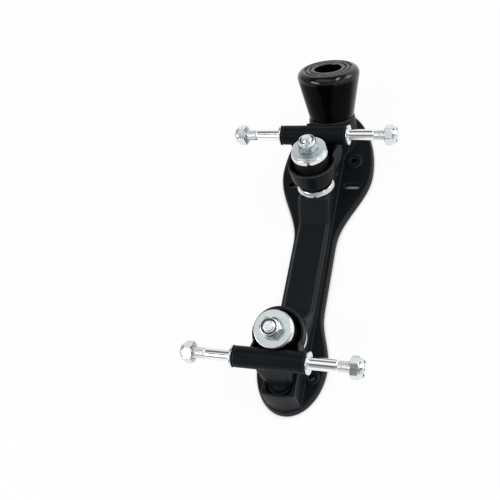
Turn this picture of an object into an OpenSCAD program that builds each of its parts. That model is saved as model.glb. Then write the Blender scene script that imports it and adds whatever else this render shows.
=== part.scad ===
// Roller skate plate: moulded plate, two steering trucks and a bolt-on toe stop.
// It lies on its sole face, so +Z points away from the boot and +Y points to the toe.
// The origin is on the sole face, half way between the two axles.

/* [Plate] */
// Distance between the two axles
wheelbase = 174; // [150:1:200]
// From the front axle to the tip of the toe
toe_overhang = 60; // [58:1:70]
// From the rear axle to the tip of the heel
heel_overhang = 20.5; // [18:0.5:28]
// Width of the toe pad at its widest
toe_pad_w = 71.5; // [60:0.5:84]
// Width of the heel pad at its widest
heel_pad_w = 49.8; // [44:0.2:60]
// Width of the waist
waist_w = 32.6; // [28:0.2:40]
// From the origin to the front end of the straight waist
waist_front = 24; // [10:1:34]
// From the origin to the rear end of the straight waist
waist_rear = 31; // [15:1:40]
// From the rear axle inboard to the widest place of the heel pad
heel_pad_inboard = 15; // [8:1:24]
// Thickness of the flange
flange_t = 5; // [4:0.5:7]
// Draw-in of the flange's side from its bottom to its top
flange_draft = 1; // [0.4:0.1:1.8]
// Bevel on the flange's top edge
flange_bevel = 0.8; // [0.3:0.1:1.5]
// Curve of the heel wall's top edge, from its middle to its corners
heel_crown = 1.5; // [0.5:0.1:2]
// Ledge of the flange round the heel's wall
heel_ledge = 1.6; // [1.4:0.1:2.2]

/* [Beam] */
// Width of the beam where it stands on the flange
beam_foot_w = 24.6; // [22:0.2:27]
// Width of the beam's flat top
beam_top_w = 19.2; // [15:0.2:20.4]
// Bevel where the beam meets the flange
foot_bevel = 0.6; // [0.3:0.1:0.7]
// Width across the shoulders, below the chamfer
beam_shoulder_w = 23; // [21:0.2:24]
// Height of the chamfer along the top edges
beam_chamfer_h = 2.2; // [1:0.1:4]
// Height of the middle of the beam
beam_h = 14.3; // [11:0.1:18]
// From the origin to the foot of each kingpin ramp
ramp_start = 35; // [30:0.5:40]
// Height of the saddle below each axle
saddle_h = 15; // [11:0.5:17]
// Wall of the hollow beam
beam_wall = 2.8; // [2:0.1:4]
// Thickness of the cross ribs under the beam
rib_t = 2.4; // [1.6:0.1:4]
// Bays between the cross ribs
rib_bays = 4; // [2:2:8]

/* [Sole fixing] */
// Diameter of the sole bolt holes
sole_hole_d = 4.8; // [3.5:0.1:5.6]
// Height of the raised boss round each sole bolt hole
boss_h = 0.9; // [0.4:0.1:1.6]
// Spacing of the toe holes
toe_hole_pitch = 40; // [39:0.5:46]
// From the front axle forward to the toe holes
toe_hole_ahead = 10; // [4:0.5:12]
// Diameter of the bosses round the toe holes
toe_boss_d = 12.4; // [9:0.2:13]
// Spacing of the centres of the cross slots
slot_pitch = 43.6; // [42:0.2:48]
// End to end length of a cross slot
slot_l = 12.2; // [8:0.2:14]
// Width of a cross slot
slot_w = 5; // [4.4:0.1:6.4]
// From the front axle back to the cross slots
slot_behind = 12.4; // [11:0.2:16]
// Spacing of the heel holes
heel_hole_pitch = 32.4; // [31.6:0.2:36]
// From the rear axle inboard to the heel holes
heel_hole_inboard = 6.8; // [4:0.2:12]
// Diameter of the bosses round the heel holes
heel_boss_d = 9.6; // [8:0.2:11]

/* [Kingpin] */
// Lean of the kingpins, outboard at the top
kingpin_tilt = 13; // [9:0.5:15]
// From the axle inboard to the kingpin, on the seat
kingpin_inboard = 25.6; // [25:0.2:28]
// Height of the kingpin seat above the sole
seat_z = 25; // [22:0.2:28]
// Diameter of the kingpin bolt
kingpin_d = 8; // [7:0.1:9]
// Across flats of the M8 nuts and bolt heads
hex_af = 13; // [12:0.1:14]
// Height of a bolt head
head_h = 5.3; // [4:0.1:6.5]
// Height of a self-locking nut
nut_h = 8; // [6.5:0.1:9]
// Material between the kingpin seat and the bolt head
seat_web = 16; // [12:0.5:17]
// End of the kingpin or of the toe stop's bolt that shows past its nut
bolt_past = 1.6; // [0.4:0.1:2.5]

/* [Bushings and washers] */
// Diameter of the lower cup washer
lower_washer_d = 28; // [26.5:0.1:29]
// Height of the lower cup washer's rim
lower_washer_h = 4; // [3:0.1:4.6]
// Diameter of the upper cup washer
upper_washer_d = 25.4; // [25:0.1:26]
// Thickness of the upper cup washer's sheet
upper_washer_t = 1.2; // [0.8:0.1:2]
// Diameter of the flat washer under the kingpin nut
flat_washer_d = 24.8; // [22:0.1:25.4]
// Thickness of that washer
flat_washer_t = 2; // [1.2:0.1:2.6]
// Thickness of the cup washers' sheet
cup_t = 1.5; // [1:0.1:2]
// Depth of the upper cup washer's turned down lip
lip_h = 2.4; // [0.8:0.1:3]
// Diameter of the upper bushing at its ends
upper_bushing_d = 24; // [22:0.1:24.2]
// Diameter of the lower bushing at its ends
lower_bushing_d = 23; // [20:0.1:23.4]
// Bulge of the bushings at mid height, on the radius
bushing_bulge = 0.4; // [0:0.1:0.8]
// Height of the lower bushing
lower_bushing_h = 10.5; // [10:0.1:13]
// Height of the upper bushing
upper_bushing_h = 17; // [15:0.1:19]

/* [Truck] */
// Height of the axle above the sole
axle_z = 52; // [49:0.5:56]
// Diameter of the axle where the wheels run
axle_d = 8; // [7.6:0.1:8.1]
// Diameter of the axle's middle, pressed into the tube and carrying the speed washers
axle_core_d = 8.4; // [8.2:0.1:9]
// Diameter of the axle's threaded ends
axle_thread_d = 7.5; // [6.6:0.1:7.5]
// Length of the axle
axle_l = 121; // [112:1:130]
// Length of each threaded end
thread_l = 17.5; // [14:0.5:22]
// Axle end that shows past its nut
axle_past = 1; // [0.4:0.1:2.5]
// Diameter of the hanger's axle tube
tube_d = 14; // [13.4:0.1:15]
// Length of the axle tube
tube_l = 48.6; // [46:0.2:54]
// Rounding bevel at the tube's ends
tube_bevel = 1.2; // [0.4:0.1:2]
// Steering each way, in degrees
steer_max = 10; // [5:0.5:10]
// Thickness of the yoke's web between the bushings
yoke_web = 4; // [3:0.1:5]
// Height of the yoke's skirt below the web
skirt_h = 1.5; // [1:0.1:3]
// Depth of the yoke's bowl above the web
bowl_h = 7.5; // [5:0.1:9]
// Outside diameter of the bowl at its rim
bowl_d = 35; // [33:0.2:37]
// Outside diameter at the skirt's lower edge
skirt_d = 32; // [29:0.2:33]
// Wall of the bowl at its rim
bowl_wall = 1.9; // [1.4:0.1:2.4]
// Width across the two arms where they leave the yoke
arm_root_w = 25.2; // [23:0.2:28]
// Width across the two arms at the axle tube
arm_w = 37; // [34:0.5:42]
// Hole in the web that lets the yoke rock on the kingpin
rock_hole_d = 11.4; // [10.4:0.1:12]
// Thickness of a speed washer
speed_washer_t = 1.4; // [1:0.1:2]
// Diameter of a speed washer
speed_washer_d = 14.6; // [12:0.1:16]

/* [Pivot] */
// From the axle outboard to the pivot's centre
pivot_out = 5; // [4:0.1:5.5]
// Height of the pivot's centre above the sole
pivot_z = 21; // [19:0.2:23]
// Radius of the pivot's ball end
pivot_r = 6.2; // [5.6:0.1:6.5]
// Radius of the pivot stem at its root
stem_root_r = 7.8; // [7:0.1:8]
// Radius of the pocket that holds the pivot cup
pocket_r = 8; // [7.8:0.05:8.2]
// Height of the pivot block above the pivot's centre
block_above = 2; // [1:0.1:3]
// Wall behind the socket, at the block's top
block_wall = 1.9; // [1.6:0.1:2.4]
// Width of the pivot block across its top
block_top_w = 22.6; // [22.2:0.1:23]
// Width of the socket that the pivot cup sits in
socket_w = 17.8; // [17.4:0.1:18.2]
// Depth of the socket, from the block's top to its floor
socket_depth = 4; // [3:0.1:5]
// Rounding of the socket's corners
socket_round = 4; // [2:0.1:5]
// Width of the pivot's neck under the axle tube
neck_w = 28; // [24:0.5:32]
// Width of the neck at its lower end, over the socket
neck_low_w = 19; // [17:0.5:20]
// Gap between the neck's lower end and the block's top
neck_gap = 2.6; // [2.4:0.1:4]

/* [Toe stop] */
// From the toe's tip back to the centre of the toe stop's seat
stop_setback = 16; // [14:0.5:18]
// Height of the centre of the seat above the sole
stop_z = 18.8; // [17.5:0.1:21]
// Forward lean of the toe stop
stop_lean = 30; // [26:1:34]
// Height of the toe stop
stop_h = 38.4; // [34:0.2:44]
// Largest diameter, near the face
stop_d = 47.6; // [44:0.2:52]
// Diameter at the base
stop_base_d = 34.8; // [33:0.2:38]
// Rounding of the face's edge
stop_round = 5; // [3:0.2:6]
// Diameter of the bolt recess
recess_d = 20.8; // [18.6:0.2:23]
// Rubber below the bolt recess
stop_web = 12; // [10:0.5:15]
// Depth of the ring grooves in the face
groove_depth = 1.2; // [0.6:0.1:2]
// Width of a ring groove
groove_w = 1.3; // [0.8:0.1:1.6]
// Rings of rubber between the recess and the rounded edge
face_rings = 3; // [2:1:4]
// Material between the seat and the captive nut
nose_web = 9; // [7:0.5:10]
// Rim of the seat around the toe stop's base
seat_rim = 0.3; // [0.2:0.1:1.5]
// Flare of the nose below the seat, in degrees
nose_flare = 7; // [3:0.5:9]
// Diameter of the flat washer under the toe stop's bolt
stop_washer_d = 17; // [15:0.2:18]
// Thickness of that washer
stop_washer_t = 1.6; // [1:0.1:2]

/* [Clearances] */
// Running clearance on the radius, for what turns or slides on a pin
run_clear = 0.1; // [0.05:0.01:0.1]
// Radial clearance of bolts in their holes
bolt_clear = 0.15; // [0.05:0.01:0.3]
// Clearance of a pressed or threaded fit, on the radius
tight_clear = 0.02; // [0.01:0.01:0.05]
// Clearance beside parts that move past each other
move_clear = 0.8; // [0.6:0.1:1]
// Clearance of a hex head in its pocket
pocket_clear = 0.2; // [0.1:0.05:0.4]

/* [Hidden] */
$fn = 96;
far = 200;
axle_y = wheelbase / 2;
toe_tip = axle_y + toe_overhang;
heel_tip = axle_y + heel_overhang;
heel_pad_y = axle_y - heel_pad_inboard;

// Along the kingpin, measured up from its seat
bushing_floor = cup_t;
web_low = bushing_floor + lower_bushing_h;
web_high = web_low + yoke_web;
rim_high = web_high + bowl_h;
skirt_low = web_low - skirt_h;
washer_low = web_high + upper_bushing_h;
flat_low = washer_low + upper_washer_t;
nut_low = flat_low + flat_washer_t;
kingpin_tip = nut_low + nut_h + bolt_past;
kingpin_y = axle_y - kingpin_inboard;

// The axle in the kingpin's own frame: outboard of it, and up it
axle_v = kingpin_inboard * cos(kingpin_tilt) - (axle_z - seat_z) * sin(kingpin_tilt);
axle_up = kingpin_inboard * sin(kingpin_tilt) + (axle_z - seat_z) * cos(kingpin_tilt);

// The steering axis runs from the pivot's centre to the middle of the yoke's web
yoke_mid = web_low + yoke_web / 2;
yoke_y = kingpin_y + yoke_mid * sin(kingpin_tilt);
yoke_z = seat_z + yoke_mid * cos(kingpin_tilt);
pivot_y = axle_y + pivot_out;
pivot_incl = atan2(yoke_z - pivot_z, pivot_y - yoke_y);
block_top = pivot_z + block_above;
block_in = pivot_y - 1.2 * pocket_r;
socket_end = pivot_y + pocket_r;
block_out = socket_end + block_wall;
cup_rim = 0.4 * block_above;
trough_r = stem_root_r + move_clear;

stop_y = toe_tip - stop_setback;
seat_r = stop_base_d / 2 + seat_rim;
nose_wide = stop_y - 0.6 * seat_r;
nose_spread = 0.19 * stop_base_d;
root_z = 0.2 * flange_t;
foot_sunk = 0.3 * foot_bevel;
seat_half = lower_washer_d / 2 * cos(kingpin_tilt);
seat_in = kingpin_y - seat_half;
seat_out = kingpin_y + seat_half;
bolt_r = kingpin_d / 2;
thread_r = axle_thread_d / 2;

// The hanger's arms, and the root of its pivot stem
arm_half = arm_w / 2;
arm_root = arm_root_w / 2;
pocket_end = axle_v - 0.75 * tube_d / 2;
stem_l = 15;
// How far the upper washers swing sideways in the hanger at full steering
washer_swing = (nut_low - yoke_mid) * cos(pivot_incl - kingpin_tilt) * sin(steer_max);

plastic = [0.07, 0.07, 0.075];
cast_black = [0.1, 0.1, 0.11];
rubber = [0.04, 0.04, 0.04];
zinc = [0.78, 0.8, 0.82];
steel = [0.72, 0.73, 0.75];

// A smooth step from 0 to 1
function ease(t) = (1 - cos(180 * t)) / 2;
function mix(a, b, t) = a + (b - a) * t;

// Right half of the plate's outline from heel tip to toe tip, drawn in by inset
function outline_right(inset) = concat(
    [for (a = [0:5:85]) [
        (heel_pad_w / 2 - inset) * sin(a),
        -heel_pad_y - (heel_tip - heel_pad_y - inset) * cos(a)]],
    [for (i = [0:12]) [
        mix(heel_pad_w, waist_w, ease(i / 12)) / 2 - inset,
        mix(-heel_pad_y, -waist_rear, i / 12)]],
    [for (i = [0:16]) [
        mix(waist_w, toe_pad_w, ease(i / 16)) / 2 - inset,
        mix(waist_front, axle_y, i / 16)]],
    [for (a = [85:-5:0]) [
        (toe_pad_w / 2 - inset) * sin(a),
        axle_y + (toe_overhang - inset) * cos(a)]]
);

// The whole outline as one closed ring of points
function outline(inset) = let (
    right = outline_right(inset),
    last = len(right) - 1
) concat(right, [for (i = [last - 1:-1:1]) [-right[i].x, right[i].y]]);

function ring_at(inset, z) = [for (p = outline(inset)) [p.x, p.y, z]];

// Strips across a ring that is the same left and right and starts on the middle line
function cross_strips(n) = concat(
    [[0, 1, n - 1]],
    [for (i = [1:n / 2 - 2]) [i, i + 1, n - i - 1, n - i]],
    [[n / 2 - 1, n / 2, n / 2 + 1]]
);

function turned(faces, shift) = [for (f = faces) [for (i = [len(f) - 1:-1:0]) f[i] + shift]];

// One closed skin through rings that all have the same number of points
module skin(rings, low) {
    n = len(rings[0]);
    last = len(rings) - 1;
    points = [for (ring = rings) each ring];
    sides = [for (k = [0:last - 1], i = [0:n - 1])
        [k * n + i, (k + 1) * n + i, (k + 1) * n + (i + 1) % n, k * n + (i + 1) % n]];
    polyhedron(points, concat(low, turned(low, last * n), sides), convexity = 8);
}

module at_kingpin() {
    translate([0, kingpin_y, seat_z]) rotate([-kingpin_tilt, 0, 0]) children();
}

module at_pivot() {
    translate([0, pivot_y, pivot_z]) rotate([90 - pivot_incl, 0, 0]) children();
}

module at_stop() {
    translate([0, stop_y, stop_z]) rotate([-stop_lean, 0, 0]) children();
}

// Along +X from the middle of the axle
module at_axle() {
    translate([0, axle_y, axle_z]) rotate([0, 90, 0]) children();
}

module at_rear() {
    rotate([0, 0, 180]) children();
}

module hex_bar(af, h) {
    cylinder(h = h, r = af / sqrt(3), $fn = 6);
}

// A hex with its corners turned down at one end
module hex_turned(af, h) {
    corner = af / sqrt(3);
    drop = (corner - af / 2) * tan(30);
    intersection() {
        hex_bar(af, h);
        rotate_extrude()
            polygon([[0, 0], [corner + 1, 0], [corner + 1, h - drop - tan(30)], [af / 2, h], [0, h]]);
    }
}

// A self-locking nut: turned hex below, crimped collar above
module lock_nut(bore) {
    hex_h = 0.68 * nut_h;
    collar_r = 0.485 * hex_af;
    crimp = 0.2 * nut_h;
    difference() {
        union() {
            hex_turned(hex_af, hex_h);
            rotate_extrude()
                polygon([[0, 0], [collar_r, 0], [collar_r, nut_h - crimp],
                    [collar_r - 0.7 * crimp, nut_h], [0, nut_h]]);
        }
        translate([0, 0, -1]) cylinder(h = nut_h + 2, r = bore);
    }
}

module ring_washer(d, t, bore) {
    difference() {
        cylinder(h = t, d = d);
        translate([0, 0, -1]) cylinder(h = t + 2, r = bore);
    }
}

// Plate

// Right half of the beam's section, from its root inside the flange to its top
function beam_half(top, top_w, chamfer) = [
    [beam_foot_w / 2 + foot_sunk, root_z],
    [beam_foot_w / 2 + foot_sunk, flange_t - foot_sunk],
    [beam_foot_w / 2 - foot_bevel, flange_t + foot_bevel],
    [beam_shoulder_w / 2, top - chamfer],
    [top_w / 2, top]
];
function open_half(top) = beam_half(top, beam_top_w, beam_chamfer_h);
function block_half() = beam_half(block_top, block_top_w, 0.3 * beam_chamfer_h);

// The left side of a section, then its right side from the top down
function both_sides(half) = concat(
    [for (p = half) [-p.x, p.y, p.z]],
    [for (i = [len(half) - 1:-1:0]) half[i]]
);

// A half section set up across the beam at a place along Y, widened by spread
function section_at(y, half, spread) = both_sides([for (p = half) [p[0] + spread, y, p[1]]]);

// Distance of the heel's edge from the origin, off the middle line
function heel_edge(x) = heel_pad_y
    + (heel_tip - heel_pad_y) * sqrt(1 - pow(2 * x / heel_pad_w, 2));

// Leaning section that closes the heel, as a share of the beam's width
function heel_section(share) = let (
    low = heel_edge(share * beam_foot_w / 2) - heel_ledge,
    high = block_out - heel_crown * share * share
) both_sides([for (p = block_half())
    [share * p[0], -mix(low, high, (p[1] - root_z) / (block_top - root_z)), p[1]]]);

// Height of the tilted kingpin seat at a distance from the origin
function seat_at(y) = seat_z + (kingpin_y - y) * tan(kingpin_tilt);

// The beam's top line from the origin to the pivot block
ramp_profile = [
    [ramp_start, beam_h],
    [seat_in, seat_at(seat_in)],
    [seat_out, seat_at(seat_out)],
    [seat_out + 3, saddle_h],
    [block_in - 1.5, saddle_h]
];

module beam_body() {
    last = len(ramp_profile) - 1;
    heel = [for (share = [0.1, 0.35, 0.6, 0.82, 1]) heel_section(share)];
    heel_block = [section_at(-block_in, block_half(), 0)];
    rear = [for (i = [last:-1:0]) section_at(-ramp_profile[i][0], open_half(ramp_profile[i][1]), 0)];
    front = [for (p = ramp_profile) section_at(p[0], open_half(p[1]), 0)];
    toe_block = [section_at(block_in, block_half(), 0), section_at(block_out, block_half(), 0)];
    nose = [section_at(nose_wide, block_half(), nose_spread)];
    n = len(nose[0]);
    skin(concat(heel, heel_block, rear, front, toe_block, nose),
        [for (i = [0:n / 2 - 2]) [i, i + 1, n - 2 - i, n - 1 - i]]);
}

module nose_boss() {
    reach = 30;
    intersection() {
        at_stop() translate([0, 0, -reach])
            cylinder(h = reach, r1 = seat_r + reach * tan(nose_flare), r2 = seat_r);
        translate([-far / 2, 0, root_z]) cube([far, far, 60]);
    }
}

module flange() {
    side = flange_t - flange_bevel;
    side_inset = flange_draft * side / flange_t;
    rings = [ring_at(0, 0), ring_at(side_inset, side), ring_at(side_inset + flange_bevel, flange_t)];
    skin(rings, cross_strips(len(rings[0])));
}

// Boss and bore of a sole bolt hole
module sole_boss(d) {
    top = flange_t + boss_h;
    translate([0, 0, root_z]) cylinder(h = top - root_z, d1 = d + boss_h, d2 = d);
}

module sole_hole() {
    translate([0, 0, -1]) cylinder(h = flange_t + boss_h + 2, d = sole_hole_d);
}

module cross_slot() {
    reach = (slot_l - slot_w) / 2;
    for (side = [-1, 1])
        translate([side * reach, 0, -1]) cylinder(h = flange_t + 2, d = slot_w);
    translate([-reach, -slot_w / 2, -1]) cube([2 * reach, slot_w, flange_t + 2]);
}

// Places of the sole bolt holes
module at_toe_holes() {
    for (side = [-1, 1])
        translate([side * toe_hole_pitch / 2, axle_y + toe_hole_ahead, 0]) children();
}

module at_heel_holes() {
    for (side = [-1, 1])
        translate([side * heel_hole_pitch / 2, heel_hole_inboard - axle_y, 0]) children();
}

// The hollow under the middle of the beam, crossed by ribs
module beam_hollow() {
    length = 2 * ramp_start - 2 * beam_wall;
    pitch = length / rib_bays;
    width = beam_top_w - 0.6 * beam_wall;
    for (i = [0:rib_bays - 1])
        translate([-width / 2, -length / 2 + i * pitch + rib_t / 2, -1])
            cube([width, pitch - rib_t, beam_h - beam_wall + 1]);
}

// Bore and head pocket of one kingpin
module kingpin_hole() {
    at_kingpin() {
        translate([0, 0, -far / 2]) cylinder(h = far, r = bolt_r + bolt_clear);
        translate([0, 0, -seat_web - far / 2]) hex_bar(hex_af + 2 * pocket_clear, far / 2);
    }
}

// A round bottomed bore, centred on the ball's middle
module bullet(r, top) {
    rotate_extrude() polygon(concat(
        [for (a = [0:7.5:90]) [r * sin(a), -r * cos(a)]],
        [[r, top], [0, top]]));
}

// A deep slot with rounded corners at one end, cut down from above
module round_slot(width, length, r, depth) {
    for (side = [-1, 1])
        translate([side * (width / 2 - r), -r, 0]) cylinder(h = depth, r = r);
    translate([r - width / 2, -length, 0]) cube([width - 2 * r, length, depth]);
    translate([-width / 2, -length, 0]) cube([width, length - r, depth]);
}

// Socket and pocket for the pivot cup, open above and towards the kingpin
module pivot_pocket() {
    translate([0, pivot_y, pivot_z]) bullet(pocket_r, 20);
    translate([0, socket_end, block_top - socket_depth])
        round_slot(socket_w, socket_end - block_in + 2, socket_round, 20);
    at_pivot() cylinder(h = stem_l - 2, r = trough_r);
}

module stop_bolt_hole() {
    at_stop() {
        translate([0, 0, -30]) cylinder(h = 40, r = bolt_r + bolt_clear);
        translate([0, 0, -nose_web - 30]) hex_bar(hex_af + 2 * pocket_clear, 30);
    }
}

module base_plate() {
    color(plastic) difference() {
        union() {
            flange();
            beam_body();
            nose_boss();
            at_toe_holes() sole_boss(toe_boss_d);
            at_heel_holes() sole_boss(heel_boss_d);
        }
        at_toe_holes() sole_hole();
        at_heel_holes() sole_hole();
        for (side = [-1, 1])
            translate([side * slot_pitch / 2, axle_y - slot_behind, 0]) cross_slot();
        beam_hollow();
        kingpin_hole();
        at_rear() kingpin_hole();
        pivot_pocket();
        at_rear() pivot_pocket();
        stop_bolt_hole();
    }
}

// Toe stop

// Half section of the toe stop: tapered wall, rounded edge, flat face
function stop_profile() = concat(
    [[0, 0], [stop_base_d / 2 - 1, 0], [stop_base_d / 2, 1]],
    [for (a = [-12:12:90]) [
        stop_d / 2 - stop_round + stop_round * cos(a),
        stop_h - stop_round + stop_round * sin(a)]],
    [[0, stop_h]]
);

module toe_stop() {
    rings_r = stop_d / 2 - 0.58 * stop_round;
    ring_pitch = (rings_r - recess_d / 2) / face_rings;
    color(rubber) at_stop() difference() {
        rotate_extrude() polygon(stop_profile());
        translate([0, 0, stop_web]) cylinder(h = stop_h, d = recess_d);
        translate([0, 0, -1]) cylinder(h = stop_h, r = bolt_r + bolt_clear);
        for (i = [1:face_rings - 1])
            translate([0, 0, stop_h - groove_depth]) difference() {
                cylinder(h = stop_h, r = recess_d / 2 + i * ring_pitch + groove_w / 2);
                translate([0, 0, -1])
                    cylinder(h = stop_h + 2, r = recess_d / 2 + i * ring_pitch - groove_w / 2);
            }
    }
}

module toe_stop_washer() {
    color(zinc) at_stop() translate([0, 0, stop_web])
        ring_washer(stop_washer_d, stop_washer_t, bolt_r + bolt_clear);
}

module toe_stop_bolt() {
    stop_nut_h = 0.8 * nut_h;
    shank = stop_web + stop_washer_t + nose_web + stop_nut_h + bolt_past;
    color(zinc) at_stop() translate([0, 0, stop_web + stop_washer_t]) {
        hex_turned(hex_af, head_h);
        translate([0, 0, -shank]) cylinder(h = shank, r = bolt_r);
    }
}

module toe_stop_nut() {
    stop_nut_h = 0.8 * nut_h;
    color(zinc) at_stop() translate([0, 0, -nose_web - stop_nut_h]) difference() {
        hex_bar(hex_af, stop_nut_h);
        translate([0, 0, -1]) cylinder(h = stop_nut_h + 2, r = bolt_r + tight_clear);
    }
}

// Kingpin and bushings

module kingpin() {
    color(zinc) at_kingpin() {
        translate([0, 0, -seat_web]) {
            cylinder(h = seat_web + kingpin_tip, r = bolt_r);
            mirror([0, 0, 1]) hex_turned(hex_af, head_h);
        }
    }
}

module lower_washer() {
    outer = lower_washer_d / 2;
    color(zinc) at_kingpin() difference() {
        cylinder(h = lower_washer_h, r = outer);
        translate([0, 0, cup_t]) cylinder(h = lower_washer_h, r = outer - cup_t);
        translate([0, 0, -1]) cylinder(h = lower_washer_h, r = bolt_r + bolt_clear);
    }
}

// A bushing bulges a little between its straight ends
module bushing(d, h) {
    r = d / 2;
    difference() {
        rotate_extrude() polygon(concat(
            [[0, 0], [r, 0]],
            [for (i = [0:10]) [r + bushing_bulge * sin(18 * i), mix(lip_h, h - lip_h, i / 10)]],
            [[r, h], [0, h]]));
        translate([0, 0, -1]) cylinder(h = h + 2, r = bolt_r + bolt_clear);
    }
}

module lower_bushing() {
    color(rubber) at_kingpin() translate([0, 0, bushing_floor])
        bushing(lower_bushing_d, lower_bushing_h);
}

module upper_bushing() {
    color(rubber) at_kingpin() translate([0, 0, web_high])
        bushing(upper_bushing_d, upper_bushing_h);
}

// The cup washer's edge is rounded and turned down round the bushing
module upper_washer() {
    outer = upper_washer_d / 2;
    inner = upper_bushing_d / 2 + tight_clear;
    soft = 0.5 * upper_washer_t;
    color(zinc) at_kingpin() translate([0, 0, washer_low]) difference() {
        rotate_extrude() polygon([[0, 0], [inner, 0], [inner, -lip_h], [outer, -lip_h],
            [outer, upper_washer_t - soft], [outer - soft, upper_washer_t], [0, upper_washer_t]]);
        translate([0, 0, -1]) cylinder(h = upper_washer_t + 2, r = bolt_r + bolt_clear);
    }
}

module flat_washer() {
    color(zinc) at_kingpin() translate([0, 0, flat_low])
        ring_washer(flat_washer_d, flat_washer_t, bolt_r + bolt_clear);
}

module kingpin_nut() {
    color(zinc) at_kingpin() translate([0, 0, nut_low]) lock_nut(bolt_r + tight_clear);
}

// A cup for the ball end, with a way out for the stem
module pivot_cup() {
    color(rubber) difference() {
        translate([0, pivot_y, pivot_z]) difference() {
            bullet(pocket_r - tight_clear, cup_rim);
            bullet(pivot_r + run_clear, 20);
        }
        at_pivot() cylinder(h = 30, r = trough_r);
    }
}

// Hanger

// Two arms from the bowl out to the axle tube, rising as they go
module arm_block() {
    root_v = -0.4 * bowl_d / 2;
    intersection() {
        translate([0, 0, web_low]) linear_extrude(height = 40)
            polygon([[-arm_root, root_v], [arm_root, root_v], [arm_half, axle_v], [-arm_half, axle_v]]);
        rotate([90, 0, 90]) translate([0, 0, -far / 2]) linear_extrude(height = far)
            polygon([[root_v, web_low], [root_v, rim_high - 0.5], [0, rim_high - 0.5],
                [pocket_end, axle_up - 0.4 * tube_d], [axle_v, axle_up],
                [axle_v, web_high], [0.8 * axle_v, web_low]]);
    }
}

// The bowl's hollow, which runs between the arms to the axle tube
module bowl_hollow() {
    rim_r = bowl_d / 2 - bowl_wall;
    floor_r = upper_bushing_d / 2 + bushing_bulge + move_clear;
    translate([0, 0, web_high]) cylinder(h = bowl_h, r1 = floor_r, r2 = rim_r);
    translate([0, 0, rim_high]) cylinder(h = 20, r = rim_r);
    translate([0, 0, web_high]) linear_extrude(height = 30)
        polygon([[-floor_r, 0], [floor_r, 0], [arm_half - 1.6 * bowl_wall, pocket_end],
            [1.6 * bowl_wall - arm_half, pocket_end]]);
}

module yoke() {
    at_kingpin() difference() {
        union() {
            translate([0, 0, skirt_low])
                cylinder(h = rim_high - skirt_low, d1 = skirt_d, d2 = bowl_d);
            arm_block();
        }
        bowl_hollow();
    }
}

// Gusset that joins the tube, the yoke and the root of the pivot stem
module gusset() {
    hull() {
        translate([0, axle_y, axle_z - 0.42 * tube_d])
            cube([1.5 * tube_d, 0.45 * tube_d, 1], center = true);
        at_pivot() translate([0, 0, stem_l - 3]) cylinder(h = 3, r = 0.92 * stem_root_r, $fn = 32);
        at_kingpin() translate([0, 0.7 * axle_v, web_high - 0.5 * yoke_web])
            cube([1.3 * tube_d, 2, 0.6 * yoke_web], center = true);
    }
}

// Broad neck that comes down from the tube to the pivot
module neck() {
    r = 0.36 * tube_d;
    lean = 0.6 * pivot_out;
    hull() {
        for (side = [-1, 1]) {
            translate([side * (neck_w / 2 - r), axle_y, axle_z - 0.36 * tube_d])
                cylinder(h = 1, r = r, $fn = 32);
            translate([side * (neck_low_w / 2 - r), axle_y + lean, block_top + neck_gap])
                cylinder(h = 1, r = r, $fn = 32);
        }
    }
}

// Ball end and taper of the pivot, in one turned shape
module stem() {
    at_pivot() rotate_extrude() polygon(concat(
        [for (a = [0:7.5:82.5]) [pivot_r * sin(a), -pivot_r * cos(a)]],
        [[pivot_r, 0], [stem_root_r, stem_l], [0, stem_l]]));
}

module tube() {
    half = tube_l / 2;
    r = tube_d / 2;
    at_axle() rotate_extrude()
        polygon([[0, -half], [r - tube_bevel, -half], [r, tube_bevel - half],
            [r, half - tube_bevel], [r - tube_bevel, half], [0, half]]);
}

module hanger() {
    color(cast_black) difference() {
        union() {
            yoke();
            tube();
            gusset();
            neck();
            stem();
        }
        at_axle() translate([0, 0, -far / 2]) cylinder(h = far, d = axle_core_d + 2 * tight_clear);
        at_kingpin() {
            translate([0, 0, web_low - 1]) cylinder(h = yoke_web + 2, d = rock_hole_d);
            translate([0, 0, web_low - 20]) cylinder(h = 20, d = lower_bushing_d + 2 * move_clear);
            translate([0, 0, lower_washer_h + move_clear - 20])
                cylinder(h = 20, d = lower_washer_d + 2 * move_clear);
            for (side = [-1, 0, 1])
                translate([side * washer_swing, 0, rim_high + 2])
                    cylinder(h = 30, r = upper_washer_d / 2 + move_clear);
        }
    }
}

// Axle and what goes on it

module axle() {
    half = axle_l / 2;
    plain = half - thread_l;
    core = tube_l / 2 + speed_washer_t + 2 * tight_clear;
    r = axle_d / 2;
    core_r = axle_core_d / 2;
    soft = 0.8;
    right = [[core_r, core], [r, core], [r, plain], [thread_r, plain], [thread_r, half - soft],
        [thread_r - soft, half], [0, half]];
    left = [for (i = [6:-1:0]) [right[i][0], -right[i][1]]];
    color(steel) at_axle() rotate_extrude() polygon(concat(left, right));
}

module speed_washer() {
    color(zinc) at_axle() translate([0, 0, tube_l / 2 + tight_clear])
        ring_washer(speed_washer_d, speed_washer_t, axle_core_d / 2 + run_clear);
}

module axle_nut() {
    color(zinc) at_axle() translate([0, 0, axle_l / 2 - axle_past - nut_h])
        lock_nut(thread_r + tight_clear);
}

module other_side() {
    mirror([1, 0, 0]) children();
}

base_plate();
toe_stop();
toe_stop_bolt();
toe_stop_washer();
toe_stop_nut();

kingpin();  // front_kingpin
lower_washer();  // front_lower_washer
lower_bushing();  // front_lower_bushing
hanger();  // front_hanger
upper_bushing();  // front_upper_bushing
upper_washer();  // front_upper_washer
flat_washer();  // front_flat_washer
kingpin_nut();  // front_kingpin_nut
pivot_cup();  // front_pivot_cup
axle();  // front_axle
speed_washer();  // front_right_speed_washer
other_side() speed_washer();  // front_left_speed_washer
axle_nut();  // front_right_axle_nut
other_side() axle_nut();  // front_left_axle_nut

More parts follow.
